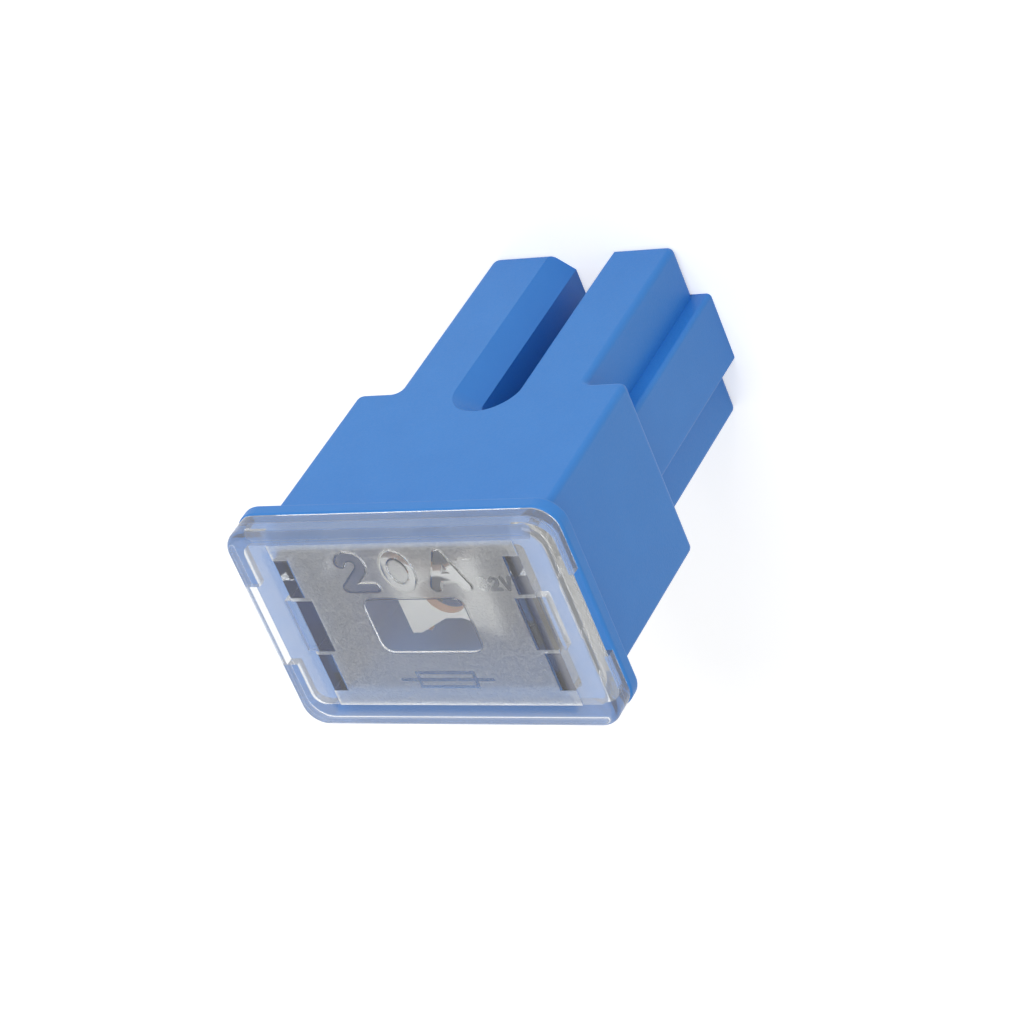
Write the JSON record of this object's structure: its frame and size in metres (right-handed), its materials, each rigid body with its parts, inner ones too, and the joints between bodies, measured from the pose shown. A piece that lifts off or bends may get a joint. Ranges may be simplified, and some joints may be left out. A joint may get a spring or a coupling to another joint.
{
  "type": "automotive cartridge fuse",
  "caption": "Plug-in automotive cartridge fuse: moulded body on socket towers for flat tabs, with a metal link seen through a clear clipped-on cover.",
  "frame": {"origin": "centre of the base, midway between the two towers, in the plane of the tower ends", "axes": "+X along the fuse's long side, from one tower to the other; +Y out of one broad face; +Z from the tower ends up to the clear cover"},
  "size_m": [0.0228, 0.0152, 0.0303],
  "materials": {
    "housing": "satin moulded plastic, mid blue",
    "element": "tin-plated copper alloy sheet, satin",
    "cover": "clear moulded plastic, polished outside and over the window, finely frosted round it"
  },
  "bodies": {
    "root": {"housing": "housing", "fuse_element": "element", "clear_cover": "cover"}
  },
  "joints": []
}
